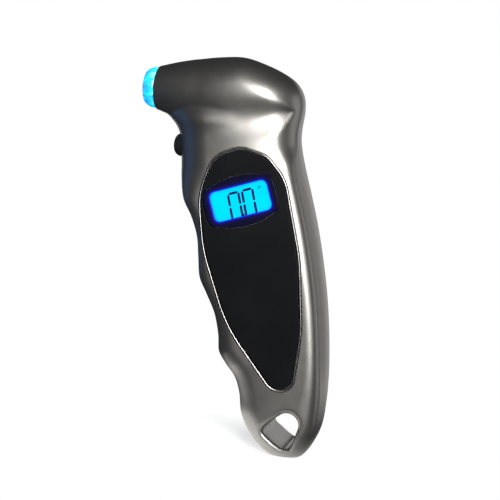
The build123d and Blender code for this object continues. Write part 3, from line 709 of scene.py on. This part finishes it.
def lens_loop(clearance):
    """Barrel-shaped window outline in the display's plane."""
    w, end, widest = LENS_HALF_W, LENS_END, LENS_HALF_W + LENS_BULGE
    points = arc_through((-w, end), (0, LENS_MIDDLE), (w, end), 14)
    points += arc_through((w, end), (widest, 0), (w, -end), 8)
    points += arc_through((w, -end), (0, -LENS_MIDDLE), (-w, -end), 14)
    points += arc_through((-w, -end), (-widest, 0), (-w, end), 8)
    loop = np.array(points)
    # soften the four corners by easing neighbours together
    for _ in range(2):
        loop = even_loop(loop, 0.8)
        loop = (np.roll(loop, 1, axis=0) + 2 * loop + np.roll(loop, -1, axis=0)) / 4
    return tilted(loop - loop_normals(loop) * clearance, DISPLAY, TILT)


def eased(depth_front, depth_back, radius, inward, steps=4):
    """Profile of a plate's edge with its front corner rounded."""
    out = []
    for k in range(steps + 1):
        a = math.pi / 2 * k / steps
        out.append((inward * (radius - radius * math.sin(a)), depth_front + radius - radius * math.cos(a)))
    return out + [(0.0, depth_back)]


panel_edge = even_loop(panel_loop - loop_normals(panel_loop) * PANEL_INSET, 1.2)
window_edge = even_loop(lens_loop(0.0), LOOP_STEP)
panel_face = plate("panel_face", panel_edge, eased(-FACE_Y - PANEL_PROUD, -SEAT_Y, 0.3, -1), charcoal,
                   window_edge, eased(-FACE_Y - PANEL_PROUD, -SEAT_Y, 0.25, 1))
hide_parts("front_panel")
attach(panel_face, "housing")


def display_point(u, v, y):
    """A place on the display, across and up its own plane, at a depth."""
    (x, z), = tilted([(u, v)], DISPLAY, TILT)
    return x, y, z


def frame_distance(tree, width, height, radius):
    """Distance outside the display's rounded frame, in metres, from the object's own coordinates."""
    coord = tree.nodes.new("ShaderNodeTexCoord").outputs["Object"]
    place = tree.nodes.new("ShaderNodeMapping")
    place.vector_type = "TEXTURE"
    place.inputs["Location"].default_value = (DISPLAY[0] * MM, 0, DISPLAY[1] * MM)
    place.inputs["Rotation"].default_value = (0, -TILT, 0)
    tree.links.new(coord, place.inputs["Vector"])

    def vector(operation, source, value=None):
        node = tree.nodes.new("ShaderNodeVectorMath")
        node.operation = operation
        tree.links.new(source, node.inputs[0])
        if value is not None:
            node.inputs[1].default_value = value
        return node

    flat = vector("MULTIPLY", place.outputs["Vector"], (1, 0, 1))
    beside = vector("ABSOLUTE", flat.outputs["Vector"])
    corner = ((width / 2 - radius) * MM, 0, (height / 2 - radius) * MM)
    over = vector("SUBTRACT", beside.outputs["Vector"], corner)
    outside = vector("MAXIMUM", over.outputs["Vector"], (0, 0, 0))
    length = vector("LENGTH", outside.outputs["Vector"])
    less = tree.nodes.new("ShaderNodeMath")
    less.operation = "SUBTRACT"
    less.inputs[1].default_value = radius * MM
    tree.links.new(length.outputs["Value"], less.inputs[0])
    return less.outputs["Value"]


def glow_ramp(tree, distance, reach, stops):
    """Colour over a distance, with its stops as shares of a reach in millimetres."""
    span = tree.nodes.new("ShaderNodeMapRange")
    span.inputs["From Min"].default_value = 0.0
    span.inputs["From Max"].default_value = reach * MM
    tree.links.new(distance, span.inputs["Value"])
    return ramp(tree, span.outputs["Result"], stops)


def bezel_material():
    """Gloss black border of the window, with a painted blue glow near its opening: emission that stands in
    for the display's light falling on the border.
    """
    material, tree, shader = base_material("window_border", (0.004, 0.004, 0.010), specular=0.25)
    # painted glow: blue emission fading out from the opening, the display's light painted onto the black
    # border
    glow = glow_ramp(tree, frame_distance(tree, LIT_W, LIT_H, LIT_R), 5.5, [
        (0.0, (0.01, 0.04, 0.95)), (0.05, (0.006, 0.006, 0.45)), (0.14, (0.004, 0.001, 0.07)),
        (0.35, (0.001, 0.0, 0.014)), (1.0, (0.0, 0.0, 0.001)),
    ])
    tree.links.new(glow.outputs["Color"], shader.inputs["Emission Color"])
    shader.inputs["Emission Strength"].default_value = 1.0
    fine = noise(tree, 5000.0)
    tree.links.new(shade(tree, fine.outputs["Fac"], 0.14, 0.22), shader.inputs["Roughness"])
    return material


def screen_material():
    """The lit face: cyan, a little deeper towards its edges, with a blue rim."""
    material, tree, shader = base_material("screen_light", (0.0, 0.02, 0.04), roughness=0.3, specular=0.05)
    rim = 2.2
    glow = glow_ramp(tree, frame_distance(tree, LIT_W - rim, LIT_H - rim, 1.6), rim, [
        (0.0, (0.0, 0.80, 1.0)), (0.30, (0.0, 0.68, 1.0)), (0.5, (0.0, 0.42, 1.0)),
        (0.72, (0.0, 0.10, 1.0)), (1.0, (0.0, 0.02, 0.8)),
    ])
    broad = noise(tree, 160.0, 2.0)
    mix = tree.nodes.new("ShaderNodeMix")
    mix.data_type = "RGBA"
    mix.blend_type = "MULTIPLY"
    mix.inputs["Factor"].default_value = 1.0
    tone = ramp(tree, broad.outputs["Fac"], [(0.3, (0.90, 0.92, 0.97)), (0.7, (1.0, 1.0, 1.0))])
    # the node's colour inputs are its sockets 6 and 7, and its colour result is socket 2
    tree.links.new(glow.outputs["Color"], mix.inputs[6])
    tree.links.new(tone.outputs["Color"], mix.inputs[7])
    tree.links.new(mix.outputs[2], shader.inputs["Emission Color"])
    shader.inputs["Emission Strength"].default_value = 1.0
    return material


# window border: black with a painted blue glow near the opening
bezel_black_painted_glow = bezel_material()
screen_light = screen_material()
digit_ink = grained("digit_ink", (0.003, 0.006, 0.10), spread=0.1, roughness=0.6, scale=4000.0,
                    height=0.000002, specular=0.05)

opening = tilted(rounded_box(LIT_W, LIT_H, LIT_R, 8), DISPLAY, TILT)
bezel_edge = even_loop(lens_loop(LENS_CLEARANCE), LOOP_STEP)
bezel_back = -SEAT_Y + 0.02
bezel = plate("window_border", bezel_edge, eased(LENS_FACE_Y, bezel_back, 0.15, -1), bezel_black_painted_glow, opening,
              [(0.0, LENS_FACE_Y), (-0.12, LENS_FACE_Y + 0.12), (-0.12, bezel_back)])
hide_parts("window_lens")
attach(bezel, "housing")

screen_edge = tilted(rounded_box(LIT_W + SCREEN_MARGIN, LIT_H + SCREEN_MARGIN, 1.0), DISPLAY, TILT)
screen = plate("screen_glass", screen_edge,
               [(0.0, SCREEN_Y), (0.1, SCREEN_Y + 0.1), (0.1, SCREEN_BACK_Y)], screen_light)
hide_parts("lcd_cell")
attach(screen, "housing")


# the reading, in the display's own plane: its digits, their bars, the point and the small sign
DIGIT_W, DIGIT_H, DIGIT_FOOT, DIGIT_ASIDE = 4.1, 9.8, -6.15, 2.8
BAR_HALF, BAR_GAP, BAR_LEAN = 0.46, 0.16, 0.06
POINT_AT, POINT_R = (-0.2, -5.35), 0.45
MARK_AT, MARK_SIZE = (7.3, 2.9), 1.15
INK_T = 0.03


def segment(u0, v0, u1, v1):
    """One six-sided bar of a digit, from end to end, leaning with the digit."""
    a, b = np.array([u0, v0]), np.array([u1, v1])
    along = (b - a) / np.linalg.norm(b - a)
    across = np.array([-along[1], along[0]]) * BAR_HALF
    a, b = a + along * BAR_GAP, b - along * BAR_GAP
    inner_a, inner_b = a + along * BAR_HALF, b - along * BAR_HALF
    points = [a, inner_a + across, inner_b + across, b, inner_b - across, inner_a - across]
    return [(p[0] + BAR_LEAN * p[1], p[1]) for p in points]


def nought(u):
    """The six bars that a seven-bar digit lights for nought."""
    w, middle, top = DIGIT_W / 2, DIGIT_H / 2, DIGIT_H
    bars = [
        (-w, top, w, top), (-w, middle, -w, top), (w, middle, w, top),
        (-w, 0, -w, middle), (w, 0, w, middle), (-w, 0, w, 0),
    ]
    return [[(x + u, y + DIGIT_FOOT) for x, y in segment(*bar)] for bar in bars]


def level_mark(u, v, size, count=3):
    """Small plain sign beside the number: bars that rise in steps."""
    width = size * 0.22
    bars = []
    for i in range(count):
        left, height = u + i * size * 0.5, size * (i + 1) / count
        bars.append([(left, v), (left, v + height), (left + width, v + height), (left + width, v)])
    return bars


shapes = nought(-DIGIT_ASIDE) + nought(DIGIT_ASIDE) + level_mark(*MARK_AT, MARK_SIZE)
shapes.append(circle(POINT_AT, POINT_R, 12))
verts, faces = [], []
for shape in shapes:
    start = len(verts)
    for depth in (SCREEN_Y - INK_T, SCREEN_Y):
        verts += [display_point(u, v, depth) for u, v in shape]
    n = len(shape)
    faces.append(tuple(start + i for i in range(n)))
    faces += [(start + i, start + (i + 1) % n, start + n + (i + 1) % n, start + n + i) for i in range(n)]
digits = make_object("screen_digits", verts, faces, digit_ink, False)
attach(digits, "housing")


# ---------------------------------------------------------------- clear nose
# how far its tip stops short of the plain nose, and how deep it sits in the barrel
NOSE_SHORT, NOSE_DEPTH = 0.5, 4.6
nose_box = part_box("nozzle_ring")
TIP_X = nose_box[0][0] / MM + NOSE_SHORT


def turned(name, profile, material, steps=96):
    """Profile of (x, radius) turned round the nozzle's axis."""
    verts, faces = [], []
    for k in range(steps):
        a = 2 * math.pi * k / steps
        verts += [(x, r * math.cos(a), NOZZLE_Z + r * math.sin(a)) for x, r in profile]
    m = len(profile)
    for k in range(steps):
        j = (k + 1) % steps
        faces += [(k * m + i, k * m + (i + 1) % m, j * m + (i + 1) % m, j * m + i) for i in range(m)]
    return make_object(name, verts, faces, material)


def nose_material():
    """Clear plastic lit from within: cyan, paler where it is thick, with deeper streaks."""
    material, tree, shader = base_material("lit_nose", (0.02, 0.30, 0.40), roughness=0.15, coat=0.3,
                                           specular=0.3)
    stretched = tree.nodes.new("ShaderNodeMapping")
    stretched.inputs["Scale"].default_value = (0.35, 1.0, 1.0)
    tree.links.new(tree.nodes.new("ShaderNodeTexCoord").outputs["Object"], stretched.inputs["Vector"])
    streaks = noise(tree, 420.0, 3.0, 0.6, stretched.outputs["Vector"])
    # bluer towards the tip, where the plastic is thin
    axis = tree.nodes.new("ShaderNodeSeparateXYZ")
    tree.links.new(tree.nodes.new("ShaderNodeTexCoord").outputs["Object"], axis.inputs["Vector"])
    along = tree.nodes.new("ShaderNodeMapRange")
    along.inputs["From Min"].default_value = TIP_X * MM
    along.inputs["From Max"].default_value = NOZZLE_FACE_X * MM
    along.inputs["To Min"].default_value = -0.10
    along.inputs["To Max"].default_value = 0.10
    tree.links.new(axis.outputs["X"], along.inputs["Value"])
    total = tree.nodes.new("ShaderNodeMath")
    tree.links.new(streaks.outputs["Fac"], total.inputs[0])
    tree.links.new(along.outputs["Result"], total.inputs[1])
    glow = ramp(tree, total.outputs["Value"], [
        (0.30, (0.0, 0.16, 0.80)), (0.42, (0.02, 0.42, 0.90)), (0.52, (0.0, 0.70, 1.0)),
        (0.60, (0.02, 0.82, 1.0)), (0.72, (0.55, 1.0, 1.0)),
    ])
    tree.links.new(glow.outputs["Color"], shader.inputs["Emission Color"])
    shader.inputs["Emission Strength"].default_value = 0.95
    return material


lit_nose = nose_material()
# from inside the bore, over the collar and the rounded tip, and back down the socket
nose_profile = [
    (NOZZLE_FACE_X + NOSE_DEPTH, 7.35), (NOZZLE_FACE_X + 0.1, 7.4), (NOZZLE_FACE_X - 0.5, 8.0),
    (NOZZLE_FACE_X - 1.8, 7.95), (TIP_X + 2.0, 7.65), (TIP_X + 1.0, 7.15), (TIP_X + 0.3, 6.7), (TIP_X, 6.2),
    (TIP_X, 5.5), (TIP_X + 0.15, 5.1), (TIP_X + 0.7, 4.6), (TIP_X + 1.6, 4.4),
    (NOZZLE_FACE_X + NOSE_DEPTH, 4.3),
]
nose = turned("clear_nose", nose_profile, lit_nose)
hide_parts("nozzle_ring")
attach(nose, "housing")

# ---------------------------------------------------------------- finishes of the carried-over parts
FINISH = {
    "housing_paint": paint, "trim": bright, "panel": charcoal, "lens": bezel_black_painted_glow, "mask": black_gloss,
    "display": screen_light, "clear_nose": lit_nose, "light_guide": white_plastic,
    "button_black": black_gloss, "rubber_black": rubber, "silicone": silicone, "brass": brass,
    "board_green": board_mask, "black_plastic": black_plastic, "white_plastic": white_plastic,
    "steel": steel, "wire_red": red_wire,
}
for part in frame["record"]["subparts"]:
    node = frame["nodes"][part["node"]]
    finish = cell_steel if part["node"] in ("coin_cell", "light_cells") else FINISH[part["material_slot"]]
    node.data.materials.clear()
    node.data.materials.append(finish)

# ---------------------------------------------------------------- floor, light and camera
FLOOR_HALF, FLOOR_Z = 600, -0.1
FLOOR_FADE = (0.015, 0.055)


def floor_material():
    """Pale floor that thins out into the white round it, by its distance from the middle in metres."""
    material, tree, shader = base_material("pale_floor", (0.92, 0.92, 0.92), roughness=0.8, specular=0.05)
    grain = noise(tree, 40.0, 2.0)
    tone = ramp(tree, grain.outputs["Fac"], [(0.3, (0.915, 0.915, 0.915)), (0.7, (0.925, 0.925, 0.925))])
    tree.links.new(tone.outputs["Color"], shader.inputs["Base Color"])
    shader.inputs["Emission Color"].default_value = (1, 1, 1, 1)
    shader.inputs["Emission Strength"].default_value = 0.6
    away = tree.nodes.new("ShaderNodeVectorMath")
    away.operation = "LENGTH"
    tree.links.new(tree.nodes.new("ShaderNodeTexCoord").outputs["Object"], away.inputs[0])
    fade = tree.nodes.new("ShaderNodeMapRange")
    fade.interpolation_type = "SMOOTHSTEP"
    fade.inputs["From Min"].default_value, fade.inputs["From Max"].default_value = FLOOR_FADE
    fade.inputs["To Min"].default_value = 1.0
    fade.inputs["To Max"].default_value = 0.0
    tree.links.new(away.outputs["Value"], fade.inputs["Value"])
    tree.links.new(fade.outputs["Result"], shader.inputs["Alpha"])
    return material


floor_corners = [(FLOOR_HALF * i, FLOOR_HALF * j, FLOOR_Z) for i, j in ((-1, -1), (1, -1), (1, 1), (-1, 1))]
floor = make_object("floor", floor_corners, [(0, 1, 2, 3)], floor_material(), False)

# the camera sees white round the object, while its surfaces mirror a dim grey
world = bpy.data.worlds.new("studio")
bpy.context.scene.world = world
world.use_nodes = True
sky = world.node_tree
background = sky.nodes["Background"]
background.inputs["Color"].default_value = (1.0, 1.0, 1.0, 1)
background.inputs["Strength"].default_value = 1.0
dim = sky.nodes.new("ShaderNodeBackground")
dim.inputs["Color"].default_value = (0.020, 0.024, 0.030, 1)
seen = sky.nodes.new("ShaderNodeLightPath")
either = sky.nodes.new("ShaderNodeMixShader")
sky.links.new(seen.outputs["Is Camera Ray"], either.inputs["Fac"])
sky.links.new(dim.outputs["Background"], either.inputs[1])
sky.links.new(background.outputs["Background"], either.inputs[2])
sky.links.new(either.outputs["Shader"], sky.nodes["World Output"].inputs["Surface"])


def lamp(name, azimuth, elevation, distance, width, height, power, colour=(1, 1, 1), aim=(0.002, 0, 0.095)):
    """Soft rectangular light, placed by its direction and distance from where it is aimed."""
    data = bpy.data.lights.new(name, "AREA")
    data.shape = "RECTANGLE"
    data.size, data.size_y = width, height
    data.energy = power
    data.color = colour
    obj = bpy.data.objects.new(name, data)
    a, e = math.radians(azimuth), math.radians(elevation)
    away = Vector((math.sin(a) * math.cos(e), -math.cos(a) * math.cos(e), math.sin(e)))
    obj.location = Vector(aim) + away * distance
    obj.rotation_euler = (-away).to_track_quat("-Z", "Y").to_euler()
    bpy.context.collection.objects.link(obj)


lamp("front_soft", azimuth=19, elevation=16, distance=0.50, width=0.19, height=0.33, power=4.0,
     aim=(0.004, 0, 0.128))
lamp("right_strip", azimuth=38, elevation=4, distance=0.60, width=0.10, height=0.34, power=0.5,
     aim=(0.02, 0, 0.09))
lamp("right_fill", azimuth=108, elevation=4, distance=0.80, width=0.40, height=0.70, power=0.55)
lamp("back_fill", azimuth=205, elevation=2, distance=0.80, width=0.50, height=0.50, power=0.6)
lamp("side_fill", azimuth=160, elevation=4, distance=0.90, width=0.55, height=0.70, power=0.8)
lamp("nose_glow", azimuth=-88, elevation=-4, distance=0.20, width=0.14, height=0.18, power=0.015,
     colour=(0.14, 0.38, 1.0), aim=(-0.02, 0, 0.12))

AZIMUTH, ELEVATION, ROLL = math.radians(13), math.radians(6), math.radians(5.5)
LOOK_AT, CAMERA_DISTANCE = (0.0023, 0, 0.0742), 0.480
camera_data = bpy.data.cameras.new("camera")
camera = bpy.data.objects.new("camera", camera_data)
bpy.context.collection.objects.link(camera)
back = Vector((
    math.sin(AZIMUTH) * math.cos(ELEVATION), -math.cos(AZIMUTH) * math.cos(ELEVATION), math.sin(ELEVATION)))
level = Vector((math.cos(AZIMUTH), math.sin(AZIMUTH), 0))
upright = back.cross(level)
right = level * math.cos(ROLL) + upright * math.sin(ROLL)
up = upright * math.cos(ROLL) - level * math.sin(ROLL)
place = Vector(LOOK_AT) + back * CAMERA_DISTANCE
camera.matrix_world = Matrix(((right.x, up.x, back.x, place.x), (right.y, up.y, back.y, place.y),
                              (right.z, up.z, back.z, place.z), (0, 0, 0, 1)))
camera_data.lens = 88.5
camera_data.sensor_width = 36
camera_data.shift_x, camera_data.shift_y = 0.026, 0.016
camera_data.clip_start = 0.01
bpy.context.scene.camera = camera
bpy.context.scene.view_settings.view_transform = "Standard"
